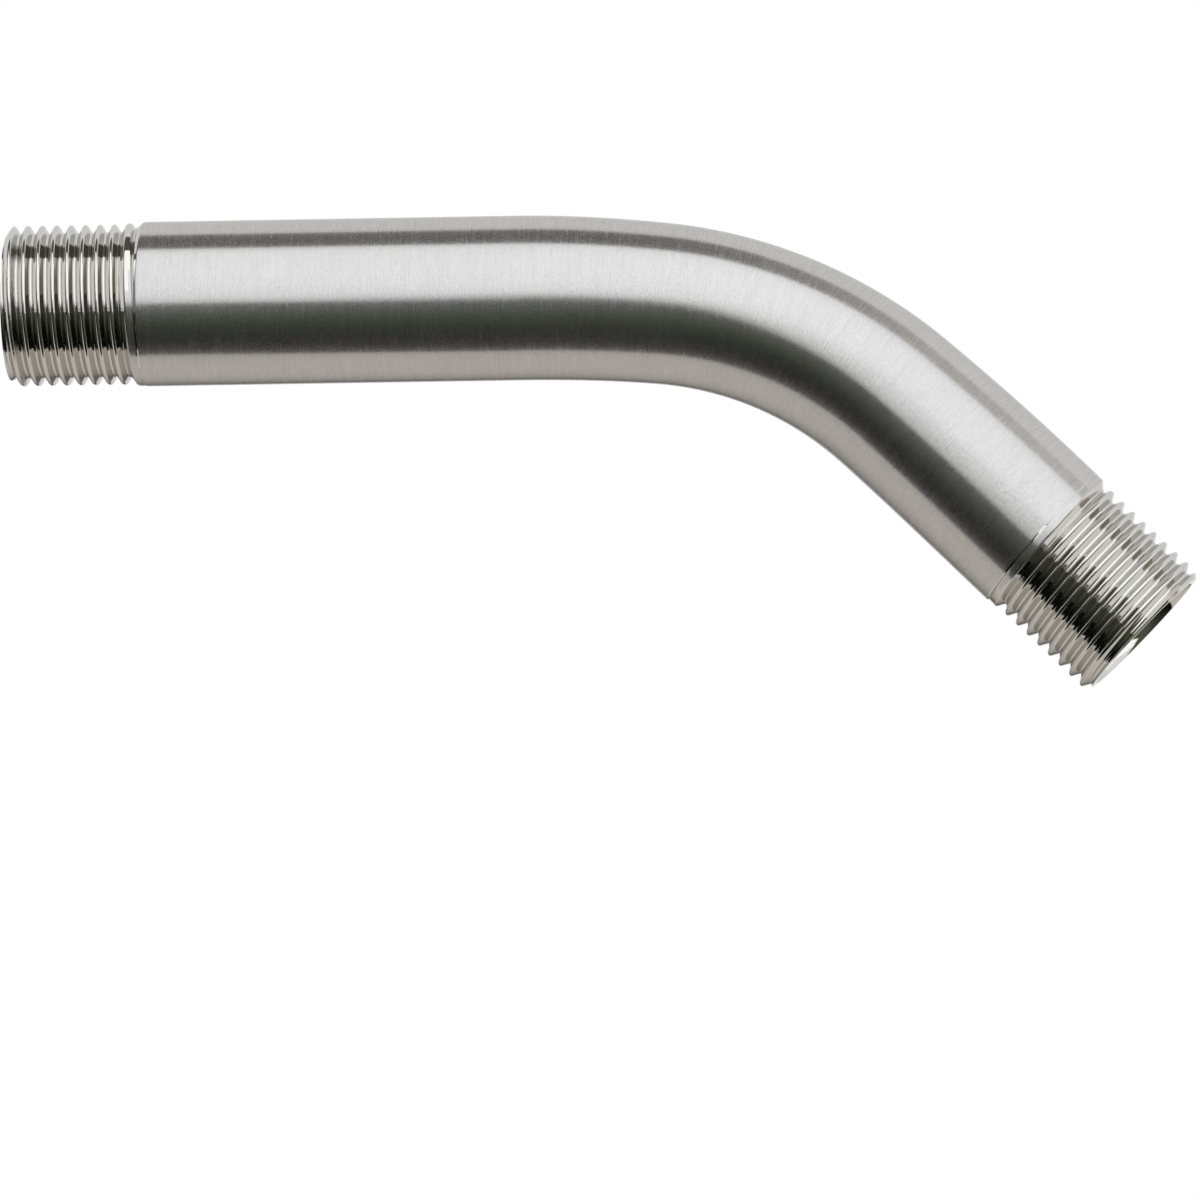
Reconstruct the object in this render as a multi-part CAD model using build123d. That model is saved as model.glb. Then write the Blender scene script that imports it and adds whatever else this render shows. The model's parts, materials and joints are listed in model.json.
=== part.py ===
"""A shower arm: one bent tube, open right through, with an external pipe thread at each end.

Frame in millimetres: the origin is the centre of the wall end's face, +X runs out of the wall along
the straight leg, +Z is up, and the tube bends downwards in the XZ plane.
"""

import math
import os

from build123d import *

# Tube
TUBE_DIAMETER = 20.6
BORE_DIAMETER = 15.8

# Centre line: a straight leg from the wall, a bend of three tangent arcs, a straight leg to the head
WALL_LEG = 63.5
EASE_IN_RADIUS = 170.0
EASE_IN_ANGLE = 6.2
BEND_RADIUS = 51.0
BEND_ANGLE = 45.0
EASE_OUT_RADIUS = 430.0
EASE_OUT_ANGLE = 2.5
HEAD_LEG = 23.4

# Both threads: right-hand, 14 turns to the inch, with 60 degree grooves that fade out in one last turn.
# The crests widen from this diameter at the mouth to the tube's own.
THREAD_DIAMETER = 20.4
THREAD_PITCH = 25.4 / 14
THREAD_ANGLE = 60.0
THREAD_CREST = 0.12
THREAD_ROOT = 0.36
WALL_THREAD_LENGTH = 17.9
WALL_THREAD_START = 140.0
HEAD_THREAD_LENGTH = 17.2
HEAD_THREAD_START = 26.0

# Chamfers round the outside and the inside of each mouth, and the most that each takes of the wall there
LEAD_CHAMFER = 0.6
MOUTH_CHAMFER = 0.8
CHAMFER_SHARE = 0.4

# How far cuts run past the surface that they start from, flanks run past the crest, and grooves end clear of it
CUT_MARGIN = 0.4
CREST_CLEARANCE = 0.04
FADE_CLEARANCE = 0.1

# Worked out from the sizes above
TUBE_RADIUS = TUBE_DIAMETER / 2
BORE_RADIUS = BORE_DIAMETER / 2
THREAD_RADIUS = THREAD_DIAMETER / 2
CORE_ANGLE = BEND_ANGLE - EASE_IN_ANGLE - EASE_OUT_ANGLE
GROOVE_WIDTH = THREAD_PITCH - THREAD_CREST
THREAD_DEPTH = (GROOVE_WIDTH - THREAD_ROOT) / 2 / math.tan(math.radians(THREAD_ANGLE / 2))


def centre_line():
    """The wall leg, the bend and the head leg of the centre line."""
    wall_leg = Line((0, 0), (WALL_LEG, 0))
    ease_in = JernArc(wall_leg @ 1, wall_leg % 1, EASE_IN_RADIUS, -EASE_IN_ANGLE)
    core = JernArc(ease_in @ 1, ease_in % 1, BEND_RADIUS, -CORE_ANGLE)
    ease_out = JernArc(core @ 1, core % 1, EASE_OUT_RADIUS, -EASE_OUT_ANGLE)
    bend = Wire([ease_in.edge(), core.edge(), ease_out.edge()])
    head_leg = Line(ease_out @ 1, ease_out @ 1 + HEAD_LEG * (ease_out % 1))
    return Plane.XZ * wall_leg, Plane.XZ * bend, Plane.XZ * head_leg


def plane_across(place, along):
    """A plane across the tube, with its X axis square to the plane of the bend."""
    return Plane(origin=place, x_dir=(0, 1, 0), z_dir=along)


def rod(radius):
    """A solid rod of the given radius along the centre line, between the two threaded ends."""
    wall_leg, bend, head_leg = centre_line()
    solid = sweep(plane_across(bend @ 0, bend % 0) * Circle(radius), bend)
    solid += extrude(plane_across(wall_leg @ 1, -(wall_leg % 1)) * Circle(radius), WALL_LEG - WALL_THREAD_LENGTH)
    solid += extrude(plane_across(head_leg @ 0, head_leg % 0) * Circle(radius), HEAD_LEG - HEAD_THREAD_LENGTH)
    return solid


def groove_section():
    """The V of a thread groove: X points out of the thread from its crest, Y runs along the tube."""
    slope = math.tan(math.radians(THREAD_ANGLE / 2))
    half_root = THREAD_ROOT / 2
    half_mouth = half_root + (THREAD_DEPTH + CREST_CLEARANCE) * slope
    outline = Polyline(
        (-THREAD_DEPTH, -half_root),
        (CREST_CLEARANCE, -half_mouth),
        (CUT_MARGIN, -half_mouth),
        (CUT_MARGIN, half_mouth),
        (CREST_CLEARANCE, half_mouth),
        (-THREAD_DEPTH, half_root),
        close=True,
    )
    return make_face(outline)


def thread_groove(length):
    """The groove of one thread along +Z from a mouth in the XY plane, fading out within the given length."""
    taper = math.atan2(TUBE_RADIUS - THREAD_RADIUS, length)
    full_length = length - GROOVE_WIDTH / 2 - THREAD_PITCH
    start_radius = THREAD_RADIUS - THREAD_PITCH * math.tan(taper)
    full_radius = THREAD_RADIUS + full_length * math.tan(taper)
    even = cone_helix(start_radius, full_length + THREAD_PITCH, taper)
    even = Pos(0, 0, -THREAD_PITCH) * even
    fade = cone_helix(full_radius, THREAD_PITCH, math.atan2(THREAD_DEPTH + FADE_CLEARANCE, THREAD_PITCH))
    fade = Pos(0, 0, full_length) * Rot(0, 0, 360 * full_length / THREAD_PITCH) * fade
    start = Plane(origin=even @ 0, x_dir=(1, 0, 0), z_dir=even % 0)
    return sweep(start * groove_section(), Wire([even.edge(), fade.edge()]), is_frenet=True)


def cone_helix(radius, height, taper):
    """A right-hand helix of the thread's pitch along +Z, on a cone that widens by the taper angle."""
    return Helix(THREAD_PITCH / math.cos(taper), height, radius, cone_angle=math.degrees(taper))


def threaded_end(length, start_angle):
    """One threaded end along +Z, with its mouth in the XY plane."""
    blank = Cone(THREAD_RADIUS, TUBE_RADIUS, length, align=(Align.CENTER, Align.CENTER, Align.MIN))
    blank -= extrude(Circle(BORE_RADIUS), length)
    largest_chamfer = CHAMFER_SHARE * (THREAD_RADIUS - BORE_RADIUS)
    mouth = blank.faces().sort_by(Axis.Z)[0]
    blank = chamfer(mouth.outer_wire().edges(), min(LEAD_CHAMFER, largest_chamfer))
    mouth = blank.faces().filter_by(GeomType.PLANE).sort_by(Axis.Z)[0]
    blank = chamfer(mouth.inner_wires()[0].edges(), min(MOUTH_CHAMFER, largest_chamfer))
    return Rot(0, 0, start_angle) * (blank - thread_groove(length))


def build_arm():
    """The whole arm: the bent tube and its two threaded ends in one piece."""
    wall_leg, _, head_leg = centre_line()
    wall_mouth = plane_across(wall_leg @ 0, wall_leg % 0)
    head_mouth = plane_across(head_leg @ 1, -(head_leg % 1))
    arm = rod(TUBE_RADIUS) - rod(BORE_RADIUS)
    arm += wall_mouth * threaded_end(WALL_THREAD_LENGTH, WALL_THREAD_START)
    arm += head_mouth * threaded_end(HEAD_THREAD_LENGTH, HEAD_THREAD_START)
    return arm


os.makedirs("parts", exist_ok=True)
export_step(build_arm().solid(), "parts/shower_arm.step")
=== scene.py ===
"""A shower arm in brushed nickel: one bent tube with bright threads at both ends, in soft studio light.

The tube is shaped straight, in millimetres along +Z from its wall end, as it is made: threaded first,
bent after.
"""

import json
import math

import bmesh
import bpy
from mathutils import Euler, Matrix, Vector


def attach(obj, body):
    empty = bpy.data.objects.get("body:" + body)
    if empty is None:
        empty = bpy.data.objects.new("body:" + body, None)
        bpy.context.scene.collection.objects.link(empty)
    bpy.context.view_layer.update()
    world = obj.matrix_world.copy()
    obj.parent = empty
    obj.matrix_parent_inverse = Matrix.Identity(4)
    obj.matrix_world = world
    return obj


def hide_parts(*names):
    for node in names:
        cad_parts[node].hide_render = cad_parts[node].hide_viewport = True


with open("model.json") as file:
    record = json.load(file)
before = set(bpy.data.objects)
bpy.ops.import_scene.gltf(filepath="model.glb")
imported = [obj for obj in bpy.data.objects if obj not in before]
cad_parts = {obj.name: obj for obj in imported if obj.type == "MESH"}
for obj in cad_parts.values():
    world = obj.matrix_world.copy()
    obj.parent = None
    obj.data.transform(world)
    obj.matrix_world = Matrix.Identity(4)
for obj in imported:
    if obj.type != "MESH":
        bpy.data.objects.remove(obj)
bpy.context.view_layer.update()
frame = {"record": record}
scene = bpy.context.scene

MM = 0.001

# Tube, as the frame's mounts give it
MOUNTS = {mount["name"]: mount for mount in frame["record"]["mounts"]}
TUBE_RADIUS = MOUNTS["flange_seat"]["dims"]["r_mm"]
BORE_RADIUS = MOUNTS["inlet_bore"]["dims"]["r_mm"]

# Centre line: a straight leg, a bend of three tangent arcs as (radius, degrees), a straight leg
WALL_LEG = 63.5
BEND_ARCS = [(170.0, 6.2), (51.0, 36.3), (430.0, 2.5)]
HEAD_LEG = 23.4
BEND_LENGTH = sum(radius * math.radians(turn) for radius, turn in BEND_ARCS)
TUBE_LENGTH = WALL_LEG + BEND_LENGTH + HEAD_LEG
BEND_SQUEEZE = 0.37

# Threads: 14 turns to the inch, 60 degree grooves, and crests that lie below the tube's surface
PITCH = 25.4 / 14
HALF_PITCH = PITCH / 2
FLANK_SLOPE = math.tan(math.radians(30))
CREST_WIDTH = 0.36
ROOT_WIDTH = 0.32
HALF_MOUTH = (PITCH - CREST_WIDTH) / 2
GROOVE_DEPTH = (HALF_MOUTH - ROOT_WIDTH / 2) / FLANK_SLOPE
CREST_ROUND = 0.17
ROOT_ROUND = 0.1
CREST_DROP = 0.24
LEAD_CHAMFER = 0.78
MOUTH_CHAMFER = 0.6
MOUTH_DEPTH = 1.05

# Each thread's run-out: where its groove begins to fade and where it is gone. Its last turn opens out to
# the tube, its crests rise to the tube's surface, and the brushing reaches over its last ridge (in turns)
WALL_THREAD = {"length": 18.1, "start": 140.0, "fade": (15.9, 16.85)}
HEAD_THREAD = {"length": 18.1, "start": 26.0, "fade": (15.5, 17.1)}
LAST_TURN_WIDTH = 2.1
LAST_TURN_RISE = 0.4
FADE_CURVE = 1.3
LEAST_SHARE = 0.12
CREST_RISE = 1.5
RIDGE_BRUSHED = (-0.5, 0.2)

# Fineness of the mesh, and the angle from which an edge is sharp
ROUND_STEPS = 144
BEND_STEPS = 72
ROUND_SEGMENTS = 3
SPARE_TURNS = 2
SHARP_ANGLE = 35.0

# Distances within which vertices count as the same
RIM_SLACK = 1e-4
SEAM_SLACK = 2e-3
CUT_SLACK = 1e-5

# Camera: yaw, pitch and roll, the point at the picture's middle, and the focus in the picture's pixels
CAMERA_ANGLES = (1.708, -8.986, -0.59)
CAMERA_TARGET = (73.72, 0.0, -38.42)
CAMERA_DISTANCE = 696.9
CAMERA_FOCUS = 5616.0
PICTURE_WIDTH = 1200
SENSOR_WIDTH = 36.0
NEAREST_SEEN = 0.01

# Brushed finish, in metres
BRUSH_SPACING, BRUSH_LENGTH = 0.2e-3, 4e-3
GRAIN_SIZE = 0.15e-3
TORN_SPOT = 0.02e-3
PIT_CELL = 2.5e-3
BRUSH_HEIGHT = 0.02e-3
GRAIN_HEIGHT = 0.01e-3

# Finish of the threads, in metres, with where along the tube the chatter lies
DRAG_SPACING, DRAG_LENGTH = 0.15e-3, 5e-3
CHATTER_SIZE = 0.15e-3
CHATTER_HEIGHT = 0.05e-3
NICK_CELL = 2e-3
CHATTER_MIDDLE, CHATTER_REACH = 1.5e-3, 0.55e-3

# Finish of the bore, in metres
DRAWN_SPACING, DRAWN_LENGTH = 0.4e-3, 30e-3

# Studio, in metres
FLOOR_HEIGHT = -0.3
FLOOR_SIZE = 12.0
FLOOR_LIFT = 0.3
WORLD_LIGHT = 0.6

# Cards of the studio: the softbox lights the arm, the white cards brighten its ends and the threads, and
# the dark and grey ones draw the bands along it. A fade is a way, where along it the glow begins and
# stops to change, and the glow that it comes to.
CARDS = {
    "softbox": dict(middle=(0.35, -0.575, 0.218), size=(1.24, 1.16), angles=(56, 0, 0), colour="#FCFDFF",
                    glow=1.6, lights=True),
    "dark_side": dict(middle=(-0.92, -0.575, 0.218), size=(1.3, 1.16), angles=(56, 0, 0), colour="#E0D6BC",
                      glow=0.42),
    "white_left": dict(middle=(-1.1, -0.4, 0.35), size=(1.1, 1.2), angles=(0, 90, 0), colour="#FCFDFF",
                       glow=0.3, fade=((0, 0, 1), 0.35, 0.7, 1.5)),
    "white_right": dict(middle=(1.2, -0.4, 0.35), size=(1.1, 1.2), angles=(0, 90, 0), colour="#FCFDFF",
                        glow=1.1, fade=((0, 0, 1), 0.35, 0.7, 1.5)),
    "dark_front": dict(middle=(0.1, -0.406, -0.289), size=(3.8, 0.81), angles=(0, 0, 8), colour="#E6F3D0",
                       glow=0.006, fade=((0.8, -1, 0), 0.1, 0.55, 0.13)),
    "dark_camera": dict(middle=(0.027, -0.64, -0.281), size=(0.74, 0.3), angles=(90, -24.5, 0),
                        colour="#F4F6E4", glow=0.12),
    "dark_left": dict(middle=(-0.777, -0.64, 0.076), size=(1.3, 0.6), angles=(90, 45, 0), colour="#F4F6E4",
                      glow=0.08),
    "dark_top": dict(middle=(0.0, -0.0445, 0.5), size=(1.3, 0.263), angles=(0, 0, 0), colour="#FFF6E8",
                     glow=0.11, fade=((1, 0, 0), 0.12, 0.6, 0.7)),
    "grey_back": dict(middle=(0.0, 1.5, -0.29), size=(6.0, 3.04), angles=(0, 0, 0), colour="#FFF8F0",
                      glow=0.75, fade=((0, 1, 0), 0.25, 1.2, 0.2)),
}

# Reflections pale less towards the edges on nickel than on other metals
EDGE_TONE = (0.78, 0.78, 0.78, 1.0)

# Places of the finishes on the arm
THREAD, TUBE, BORE = range(3)


def linear(hex_colour):
    """The linear RGBA of an sRGB hex colour."""
    shares = [int(hex_colour[i:i + 2], 16) / 255 for i in (1, 3, 5)]
    return [s / 12.92 if s <= 0.04045 else ((s + 0.055) / 1.055) ** 2.4 for s in shares] + [1.0]


def add(tree, kind, settings=None, **links):
    """A node of that kind with its settings: named inputs take a value, or the socket that feeds them."""
    node = tree.nodes.new(kind)
    for name, value in (settings or {}).items():
        setattr(node, name, value)
    for name, value in links.items():
        socket = node.inputs[int(name[1:])] if name[1:].isdigit() else node.inputs[name.replace("_", " ")]
        if isinstance(value, bpy.types.NodeSocket):
            tree.links.new(value, socket)
        else:
            socket.default_value = value
    return node


def centre_line(station):
    """Centre point and downward turn of the centre line, that far along it from the wall end."""
    place = Vector((min(station, WALL_LEG), 0, 0))
    turned = 0.0
    left = station - WALL_LEG
    for radius, turn in BEND_ARCS:
        if left <= 0:
            break
        arc = min(left / radius, math.radians(turn))
        place.x += radius * (math.sin(turned + arc) - math.sin(turned))
        place.z += radius * (math.cos(turned + arc) - math.cos(turned))
        turned += arc
        left -= radius * math.radians(turn)
    if left > 0:
        place += left * Vector((math.cos(turned), 0, -math.sin(turned)))
    return place, turned


def squeeze(station):
    """The share that bending takes from the tube's height, most in the middle of the bend."""
    across = (station - WALL_LEG) / BEND_LENGTH * 2 - 1
    return BEND_SQUEEZE / TUBE_RADIUS * max(0.0, 1 - across ** 2) ** 2


def ring(bm, radius, station):
    """A circle of edges round the tube's axis."""
    place = Matrix.Translation((0, 0, station))
    made = bmesh.ops.create_circle(bm, segments=ROUND_STEPS, radius=radius, matrix=place)
    return list(dict.fromkeys(edge for vert in made["verts"] for edge in vert.link_edges))


def open_rim(bm, station):
    """The open edges of what is skinned so far, at that station."""
    return [
        edge for edge in bm.edges
        if edge.is_boundary and all(abs(v.co.z - station) < RIM_SLACK for v in edge.verts)]


def draw_in(bm, from_station, radius, station):
    """Extrudes the open edges at one station to a circle at another, each vertex at its own angle."""
    made = bmesh.ops.extrude_edge_only(bm, edges=open_rim(bm, from_station))["geom"]
    for vert in made:
        if isinstance(vert, bmesh.types.BMVert):
            vert.co.xy *= radius / vert.co.xy.length
            vert.co.z = station


def skin(bm, loops, finish):
    """Faces from each loop of edges to the next."""
    for near, far in zip(loops[:-1], loops[1:]):
        for face in bmesh.ops.bridge_loops(bm, edges=near + far)["faces"]:
            face.material_index = finish


def thread_outline(bm, length):
    """The thread's outline along the tube, past both ends, with its crests and roots rounded."""
    half_root = ROOT_WIDTH / 2
    corners = [
        (-HALF_MOUTH, 0.0), (-half_root, GROOVE_DEPTH), (half_root, GROOVE_DEPTH), (HALF_MOUTH, 0.0)]
    chain = []
    for turn in range(-SPARE_TURNS, math.ceil(length / PITCH) + SPARE_TURNS):
        chain += [
            bm.verts.new((TUBE_RADIUS - depth, 0, turn * PITCH + along)) for along, depth in corners]
    for before, after in zip(chain[:-1], chain[1:]):
        bm.edges.new((before, after))
    crests = chain[0::4] + chain[3::4]
    roots = chain[1::4] + chain[2::4]
    for verts, size in ((crests, CREST_ROUND), (roots, ROOT_ROUND)):
        bmesh.ops.bevel(
            bm, geom=verts, offset=size, segments=ROUND_SEGMENTS, profile=0.5, affect="VERTICES",
            material=-1)


def share(value, low, high):
    """How far a value is from low to high, from 0 to 1."""
    return min(1.0, max(0.0, (value - low) / (high - low)))


def last_groove(place, fade):
    """Where the last groove passes at a place's turn, and the share of its size that is left there."""
    turn = math.atan2(place.y, place.x) / (2 * math.pi)
    groove = PITCH * (math.floor(fade[1] / PITCH - turn) + turn)
    return groove, share(groove, fade[1], fade[0]) ** FADE_CURVE


def seat_on_end(vert, length, fade):
    """Moves a vertex of the even thread to its place: faded out by the tube, chamfered at the mouth."""
    turn = math.atan2(vert.co.y, vert.co.x) / (2 * math.pi)
    station = vert.co.z
    radius = vert.co.xy.length
    groove = PITCH * (round(station / PITCH - turn) + turn)
    ridge = groove + math.copysign(HALF_PITCH, station - groove)
    crest = TUBE_RADIUS - CREST_DROP * share(ridge, fade[1], fade[1] - CREST_RISE * PITCH)
    depth = (TUBE_RADIUS - radius) * share(groove, fade[1], fade[0]) ** FADE_CURVE
    vert.co.xy *= min(crest - depth, TUBE_RADIUS - CREST_DROP - LEAD_CHAMFER + station) / radius
    # The last groove narrows as it fades, and its far flank lies back to the tube
    groove, left = last_groove(vert.co, fade)
    near = HALF_MOUTH * max(left, LEAST_SHARE)
    opening = share(groove, fade[1] - PITCH, fade[1] - PITCH * (1 - LAST_TURN_RISE))
    far = near * (1 + (LAST_TURN_WIDTH - 1) * opening)
    past = station - groove
    if 0 < past < HALF_MOUTH:
        vert.co.z = groove + past * far / HALF_MOUTH
    elif HALF_MOUTH <= past and station < length:
        vert.co.z = length - (length - station) * (length - groove - far) / (length - groove - HALF_MOUTH)
    elif -HALF_MOUTH < past <= 0:
        vert.co.z = groove + past * near / HALF_MOUTH
    elif -HALF_PITCH < past <= -HALF_MOUTH:
        vert.co.z = (
            groove - HALF_PITCH + (past + HALF_PITCH) * (HALF_PITCH - near) / (HALF_PITCH - HALF_MOUTH))


def threaded_end(length, start, fade):
    """One threaded end along +Z with its mouth at the origin, open where the tube goes on."""
    bm = bmesh.new()
    thread_outline(bm, length)
    bmesh.ops.spin(
        bm, geom=bm.verts[:] + bm.edges[:], axis=(0, 0, 1), cent=(0, 0, 0),
        dvec=(0, 0, PITCH / ROUND_STEPS), angle=2 * math.pi, steps=ROUND_STEPS, use_merge=False)
    bmesh.ops.remove_doubles(bm, verts=bm.verts, dist=SEAM_SLACK)
    for station, outwards in ((0.0, -1), (length, 1)):
        bmesh.ops.bisect_plane(
            bm, geom=bm.verts[:] + bm.edges[:] + bm.faces[:], plane_co=(0, 0, station),
            plane_no=(0, 0, outwards), clear_outer=True, dist=CUT_SLACK)
    near, far = (fade[1] + turns * PITCH for turns in RIDGE_BRUSHED)
    for face in bm.faces:
        middle = face.calc_center_median()
        groove, _ = last_groove(middle, fade)
        past = middle.z - groove
        brushed_from = -PITCH * share(groove, near, far)
        brushed = past > HALF_MOUTH or brushed_from < past < -HALF_MOUTH
        face.material_index = TUBE if brushed else THREAD
    for vert in bm.verts:
        seat_on_end(vert, length, fade)
    turn = Matrix.Rotation(math.radians(start), 3, "Z")
    bmesh.ops.rotate(bm, verts=bm.verts, cent=(0, 0, 0), matrix=turn)
    draw_in(bm, 0.0, BORE_RADIUS + MOUTH_CHAMFER, 0.0)
    draw_in(bm, 0.0, BORE_RADIUS, MOUTH_DEPTH)
    return bm


def join(bm, other, place):
    """Adds another bmesh, moved to its place."""
    mesh = bpy.data.meshes.new("joined")
    other.transform(place)
    other.to_mesh(mesh)
    other.free()
    bm.from_mesh(mesh)
    bpy.data.meshes.remove(mesh)


def straight_arm():
    """The arm before it is bent: both threaded ends, and between them the tube's outside and its bore."""
    bm = bmesh.new()
    head_place = Matrix.Translation((0, 0, TUBE_LENGTH)) @ Matrix.Rotation(math.pi, 4, "X")
    join(bm, threaded_end(**WALL_THREAD), Matrix.Identity(4))
    join(bm, threaded_end(**HEAD_THREAD), head_place)
    wall_end = WALL_THREAD["length"]
    head_end = TUBE_LENGTH - HEAD_THREAD["length"]
    bend_end = WALL_LEG + BEND_LENGTH
    outside = [ring(bm, TUBE_RADIUS, station) for station in (WALL_LEG, bend_end)]
    skin(bm, [open_rim(bm, wall_end), *outside, open_rim(bm, head_end)], TUBE)
    inside = [ring(bm, BORE_RADIUS, station) for station in (WALL_LEG, bend_end)]
    mouths = [open_rim(bm, station) for station in (MOUTH_DEPTH, TUBE_LENGTH - MOUTH_DEPTH)]
    skin(bm, [mouths[0], *inside, mouths[1]], BORE)
    across_bend = [
        edge for edge in bm.edges
        if sorted(round(v.co.z, 3) for v in edge.verts) == [round(WALL_LEG, 3), round(bend_end, 3)]]
    bmesh.ops.subdivide_edges(bm, edges=across_bend, cuts=BEND_STEPS - 1, use_grid_fill=True)
    return bm


def bend_arm(bm):
    """Bends the arm along its centre line. Each vertex keeps where it was and which way the tube runs."""
    straight = bm.verts.layers.float_vector.new("straight")
    along = bm.verts.layers.float_vector.new("along")
    for vert in bm.verts:
        across, height, station = vert.co
        place, turned = centre_line(station)
        up = Vector((math.sin(turned), 0, math.cos(turned)))
        vert[straight] = Vector((station, across, height)) * MM
        vert[along] = Vector((math.cos(turned), 0, -math.sin(turned)))
        vert.co = (place + across * Vector((0, 1, 0)) + height * (1 - squeeze(station)) * up) * MM


def arm_piece(finishes):
    """The whole arm with its finishes, in place of the plain solid."""
    bm = straight_arm()
    bend_arm(bm)
    bmesh.ops.recalc_face_normals(bm, faces=bm.faces)
    if bm.calc_volume(signed=True) < 0:
        bmesh.ops.reverse_faces(bm, faces=bm.faces)
    for face in bm.faces:
        face.smooth = True
    for edge in bm.edges:
        edge.smooth = edge.calc_face_angle(0) < math.radians(SHARP_ANGLE)
    mesh = bpy.data.meshes.new("nickel_arm")
    bm.to_mesh(mesh)
    bm.free()
    for finish in finishes:
        mesh.materials.append(finish)
    piece = bpy.data.objects.new("nickel_arm", mesh)
    scene.collection.objects.link(piece)
    # Shading follows the large faces, so that the thread's flanks reflect as the flat cuts they are
    piece.modifiers.new("flat_flanks", "WEIGHTED_NORMAL").keep_sharp = True
    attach(piece, "root")
    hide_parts("shower_arm")


def new_material(name):
    """A material of that name and its empty tree of nodes."""
    material = bpy.data.materials.new(name)
    material.use_nodes = True
    material.node_tree.nodes.clear()
    return material, material.node_tree


def brushed_nickel():
    """Nickel plate brushed round the tube: satin, with fine rings, and reflections drawn out along it."""
    material, tree = new_material("brushed_nickel")
    straight = add(tree, "ShaderNodeAttribute", {"attribute_name": "straight"})
    # Brush lines are about 0.05 mm apart, too fine to show, so they are drawn 0.2 mm apart and 4 mm long
    lines = add(tree, "ShaderNodeMapping", Vector=straight.outputs["Vector"],
                Scale=(1 / BRUSH_SPACING, 1 / BRUSH_LENGTH, 1 / BRUSH_LENGTH))
    lines = add(tree, "ShaderNodeTexNoise", Vector=lines.outputs["Vector"], Scale=1.0, Detail=2.0,
                Roughness=0.6)
    # Grit has left a grain of about 0.15 mm between the lines
    grain = add(tree, "ShaderNodeTexNoise", Vector=straight.outputs["Vector"], Scale=1 / GRAIN_SIZE,
                Detail=1.0)
    both = add(tree, "ShaderNodeMath", {"operation": "ADD"}, _0=lines.outputs["Fac"],
               _1=grain.outputs["Fac"])
    # Torn spots of 0.02 mm, too fine to show one by one and thicker with the grain, lay a haze over the
    # reflections
    torn = add(tree, "ShaderNodeTexNoise", Vector=straight.outputs["Vector"], Scale=1 / TORN_SPOT,
               Detail=0.0)
    torn = add(tree, "ShaderNodeMath", {"operation": "MULTIPLY_ADD"}, _0=grain.outputs["Fac"], _1=0.3,
               _2=torn.outputs["Fac"])
    torn = add(tree, "ShaderNodeMapRange", Value=torn.outputs[0], From_Min=0.69, From_Max=0.74, To_Min=0.0,
               To_Max=0.62)
    # Small pits, up to 0.16 mm across and about 10 mm from each other, catch the light
    pits = add(tree, "ShaderNodeTexVoronoi", Vector=straight.outputs["Vector"], Scale=1 / PIT_CELL)
    pits = add(tree, "ShaderNodeMapRange", Value=pits.outputs["Distance"], From_Min=0.022, From_Max=0.034,
               To_Min=0.75, To_Max=0.0)
    satin = add(tree, "ShaderNodeMapRange", Value=lines.outputs["Fac"], From_Min=0.25, From_Max=0.75,
                To_Min=0.19, To_Max=0.29)
    satin = add(tree, "ShaderNodeMath", {"operation": "MAXIMUM"}, _0=satin.outputs["Result"],
                _1=pits.outputs["Result"])
    satin = add(tree, "ShaderNodeMath", {"operation": "MAXIMUM"}, _0=satin.outputs[0],
                _1=torn.outputs["Result"])
    tone = add(tree, "ShaderNodeMapRange", Value=both.outputs[0], From_Min=0.6, From_Max=1.4)
    tone = add(tree, "ShaderNodeMix", {"data_type": "RGBA"}, _0=tone.outputs["Result"],
               _6=linear("#BBBAB9"), _7=linear("#D2D1D0"))
    brushed = add(tree, "ShaderNodeBump", Height=lines.outputs["Fac"], Strength=0.12, Distance=BRUSH_HEIGHT)
    grained = add(tree, "ShaderNodeBump", Height=grain.outputs["Fac"], Strength=0.15, Distance=GRAIN_HEIGHT,
                  Normal=brushed.outputs["Normal"])
    along = add(tree, "ShaderNodeAttribute", {"attribute_name": "along"})
    shader = add(tree, "ShaderNodeBsdfPrincipled", Base_Color=tone.outputs[2], Metallic=1.0,
                 Roughness=satin.outputs[0], Anisotropic=0.85, Specular_Tint=EDGE_TONE,
                 Tangent=along.outputs["Vector"], Normal=grained.outputs["Normal"])
    add(tree, "ShaderNodeOutputMaterial", Surface=shader.outputs["BSDF"])
    return material


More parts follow.
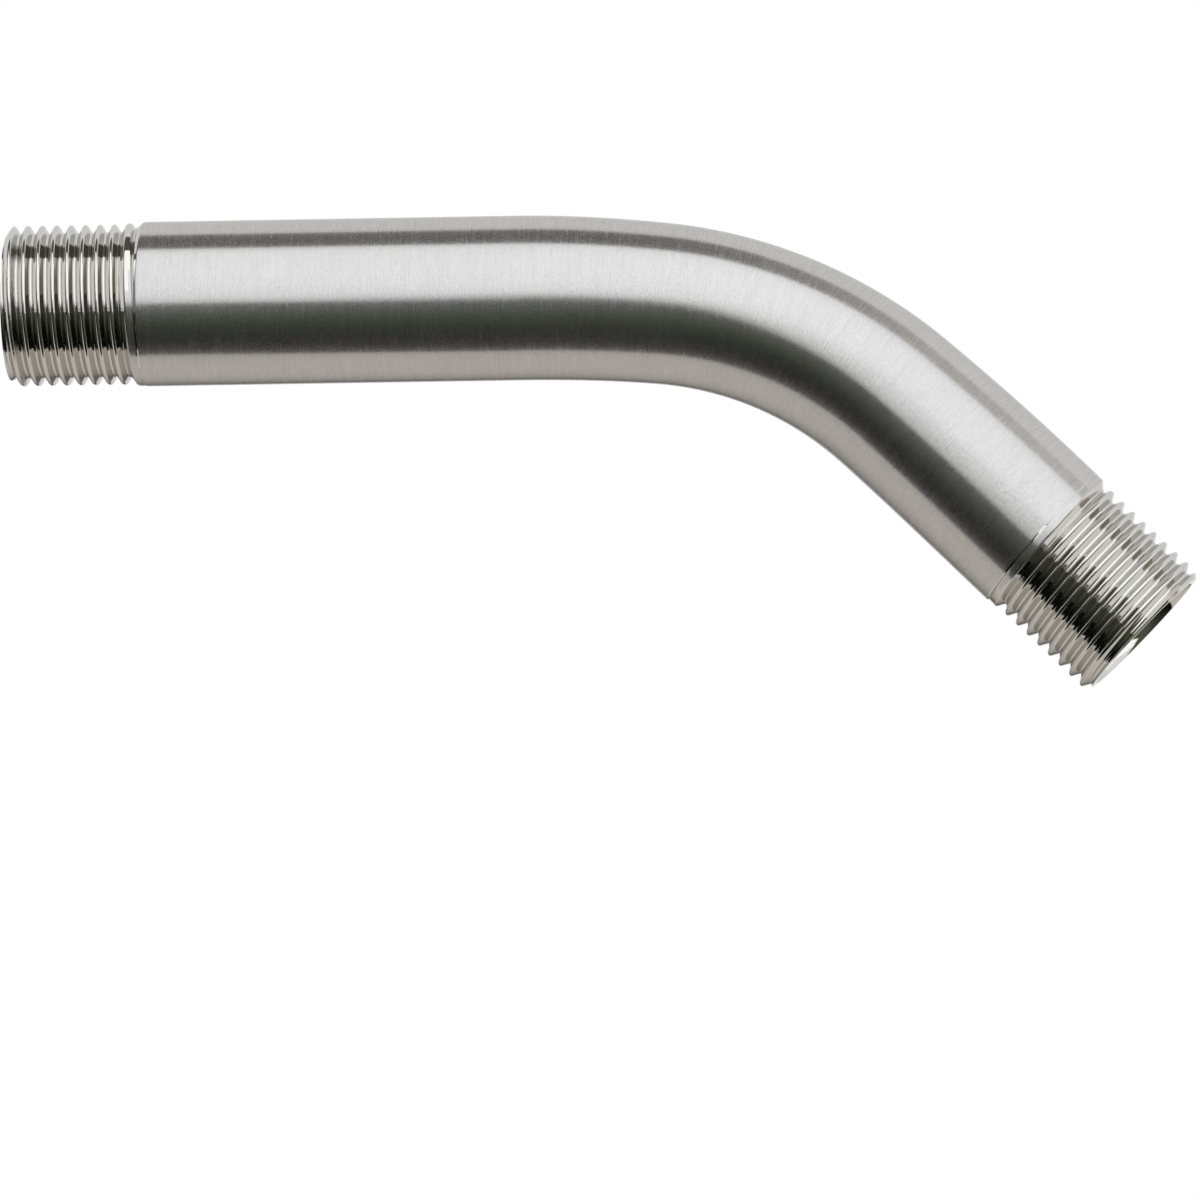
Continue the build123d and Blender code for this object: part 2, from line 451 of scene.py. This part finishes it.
def bright_nickel():
    """Nickel plate on the cut thread, left as plated: almost a mirror, dulled by drag lines and nicks."""
    material, tree = new_material("bright_nickel")
    straight = add(tree, "ShaderNodeAttribute", {"attribute_name": "straight"})
    # Drag lines of the die run with the turns, 0.15 mm apart and 5 mm long
    lines = add(tree, "ShaderNodeMapping", Vector=straight.outputs["Vector"],
                Scale=(1 / DRAG_SPACING, 1 / DRAG_LENGTH, 1 / DRAG_LENGTH))
    lines = add(tree, "ShaderNodeTexNoise", Vector=lines.outputs["Vector"], Scale=1.0, Detail=2.0)
    gloss = add(tree, "ShaderNodeMapRange", Value=lines.outputs["Fac"], From_Min=0.3, From_Max=0.8,
                To_Min=0.04, To_Max=0.12)
    # The die has chattered on the first turn at the wall end, which leaves it grainy, at about 0.15 mm
    chatter = add(tree, "ShaderNodeTexNoise", Vector=straight.outputs["Vector"], Scale=1 / CHATTER_SIZE,
                  Detail=1.0)
    start = add(tree, "ShaderNodeSeparateXYZ", Vector=straight.outputs["Vector"])
    start = add(tree, "ShaderNodeMath", {"operation": "COMPARE"}, _0=start.outputs["X"], _1=CHATTER_MIDDLE,
                _2=CHATTER_REACH)
    chatter = add(tree, "ShaderNodeMath", {"operation": "MULTIPLY"}, _0=chatter.outputs["Fac"],
                  _1=start.outputs[0])
    chatter = add(tree, "ShaderNodeBump", Height=chatter.outputs[0], Strength=0.5, Distance=CHATTER_HEIGHT)
    # Nicks, up to 0.2 mm across
    nicks = add(tree, "ShaderNodeTexVoronoi", Vector=straight.outputs["Vector"], Scale=1 / NICK_CELL)
    nicks = add(tree, "ShaderNodeMapRange", Value=nicks.outputs["Distance"], From_Min=0.03, From_Max=0.05,
                To_Min=0.6, To_Max=0.0)
    gloss = add(tree, "ShaderNodeMath", {"operation": "MAXIMUM"}, _0=gloss.outputs["Result"],
                _1=nicks.outputs["Result"])
    tone = add(tree, "ShaderNodeMix", {"data_type": "RGBA"}, _0=lines.outputs["Fac"], _6=linear("#D2D0CC"),
               _7=linear("#C6C4BF"))
    shader = add(tree, "ShaderNodeBsdfPrincipled", Base_Color=tone.outputs[2], Metallic=1.0,
                 Roughness=gloss.outputs[0], Specular_Tint=EDGE_TONE, Normal=chatter.outputs["Normal"])
    add(tree, "ShaderNodeOutputMaterial", Surface=shader.outputs["BSDF"])
    return material


def bore_nickel():
    """The tube's inside, thinly plated drawn metal: dull, part oxide, with faint lines along the tube."""
    material, tree = new_material("bore_nickel")
    straight = add(tree, "ShaderNodeAttribute", {"attribute_name": "straight"})
    # Drawing lines are 0.4 mm apart and run 30 mm
    lines = add(tree, "ShaderNodeMapping", Vector=straight.outputs["Vector"],
                Scale=(1 / DRAWN_LENGTH, 1 / DRAWN_SPACING, 1 / DRAWN_SPACING))
    lines = add(tree, "ShaderNodeTexNoise", Vector=lines.outputs["Vector"], Scale=1.0, Detail=2.0)
    satin = add(tree, "ShaderNodeMapRange", Value=lines.outputs["Fac"], From_Min=0.3, From_Max=0.7,
                To_Min=0.24, To_Max=0.4)
    tone = add(tree, "ShaderNodeMix", {"data_type": "RGBA"}, _0=lines.outputs["Fac"], _6=linear("#9C9891"),
               _7=linear("#B4B0A8"))
    shader = add(tree, "ShaderNodeBsdfPrincipled", Base_Color=tone.outputs[2], Metallic=0.65,
                 Roughness=satin.outputs["Result"])
    add(tree, "ShaderNodeOutputMaterial", Surface=shader.outputs["BSDF"])
    return material


def card(name, middle, size, angles, colour, glow, fade=None, lights=False):
    """A card that shows in reflections and not to the camera, its glow changing along a way if given."""
    material, tree = new_material(name)
    shine = add(tree, "ShaderNodeEmission", Color=linear(colour), Strength=glow)
    if fade:
        way, near, far, far_glow = fade
        place = add(tree, "ShaderNodeTexCoord")
        place = add(tree, "ShaderNodeVectorMath", {"operation": "DOT_PRODUCT"}, _0=place.outputs["Object"],
                    _1=way)
        level = add(tree, "ShaderNodeMapRange", Value=place.outputs["Value"], From_Min=near, From_Max=far,
                    To_Min=glow, To_Max=far_glow)
        tree.links.new(level.outputs["Result"], shine.inputs["Strength"])
    add(tree, "ShaderNodeOutputMaterial", Surface=shine.outputs["Emission"])
    bm = bmesh.new()
    bmesh.ops.create_grid(bm, x_segments=1, y_segments=1, size=0.5)
    bmesh.ops.scale(bm, verts=bm.verts, vec=(*size, 1))
    bm.transform(Matrix.LocRotScale(middle, Euler([math.radians(angle) for angle in angles]), None))
    mesh = bpy.data.meshes.new(name)
    bm.to_mesh(mesh)
    bm.free()
    mesh.materials.append(material)
    piece = bpy.data.objects.new(name, mesh)
    piece.visible_camera = False
    piece.visible_diffuse = lights
    piece.visible_shadow = False
    scene.collection.objects.link(piece)


def seen_directly(tree):
    """1 for what is seen straight on or in metal and glass, and 0 for the light on what is dull."""
    path = add(tree, "ShaderNodeLightPath")
    seen = add(tree, "ShaderNodeMath", {"operation": "MAXIMUM"}, _0=path.outputs["Is Camera Ray"],
               _1=path.outputs["Is Glossy Ray"])
    return add(tree, "ShaderNodeMath", {"operation": "MAXIMUM"}, _0=seen.outputs[0],
               _1=path.outputs["Is Transmission Ray"])


def floor():
    """A pale floor that shows almost white and keeps the arm's soft shadow."""
    material, tree = new_material("pale_floor")
    shader = add(tree, "ShaderNodeBsdfDiffuse", Color=linear("#F2F2F0"))
    seen = seen_directly(tree)
    lift = add(tree, "ShaderNodeMath", {"operation": "MULTIPLY"}, _0=seen.outputs[0], _1=FLOOR_LIFT)
    glow = add(tree, "ShaderNodeEmission", Color=linear("#FFFFFF"), Strength=lift.outputs[0])
    both = add(tree, "ShaderNodeAddShader", _0=shader.outputs["BSDF"], _1=glow.outputs["Emission"])
    add(tree, "ShaderNodeOutputMaterial", Surface=both.outputs["Shader"])
    bm = bmesh.new()
    bmesh.ops.create_grid(bm, x_segments=1, y_segments=1, size=FLOOR_SIZE / 2)
    bmesh.ops.translate(bm, verts=bm.verts, vec=(0, 0, FLOOR_HEIGHT))
    mesh = bpy.data.meshes.new("floor")
    bm.to_mesh(mesh)
    bm.free()
    mesh.materials.append(material)
    piece = bpy.data.objects.new("floor", mesh)
    scene.collection.objects.link(piece)


def white_world():
    """White to the camera and in reflections, and a softer light on what is dull."""
    world = bpy.data.worlds.new("studio")
    world.use_nodes = True
    tree = world.node_tree
    tree.nodes.clear()
    seen = seen_directly(tree)
    strength = add(tree, "ShaderNodeMapRange", Value=seen.outputs[0], To_Min=WORLD_LIGHT, To_Max=1.0)
    sky = add(tree, "ShaderNodeBackground", Color=linear("#FFFFFF"), Strength=strength.outputs[0])
    add(tree, "ShaderNodeOutputWorld", Surface=sky.outputs["Background"])
    scene.world = world


def photo_camera():
    """The camera of the photograph, which looks a little up at the arm."""
    yaw, pitch, roll = (math.radians(angle) for angle in CAMERA_ANGLES)
    back = Vector((math.sin(yaw) * math.cos(pitch), -math.cos(yaw) * math.cos(pitch), math.sin(pitch)))
    level = (-back).to_track_quat("-Z", "Y").to_matrix().to_4x4()
    camera = bpy.data.objects.new("camera", bpy.data.cameras.new("camera"))
    camera.data.sensor_width = SENSOR_WIDTH
    camera.data.lens = CAMERA_FOCUS / PICTURE_WIDTH * SENSOR_WIDTH
    camera.data.clip_start = NEAREST_SEEN
    place = Matrix.Translation((Vector(CAMERA_TARGET) + back * CAMERA_DISTANCE) * MM)
    camera.matrix_world = place @ level @ Matrix.Rotation(roll, 4, "Z")
    scene.collection.objects.link(camera)
    scene.camera = camera


scene.view_settings.view_transform = "Standard"
arm_piece([bright_nickel(), brushed_nickel(), bore_nickel()])
floor()
for name, settings in CARDS.items():
    card(name, **settings)
white_world()
photo_camera()
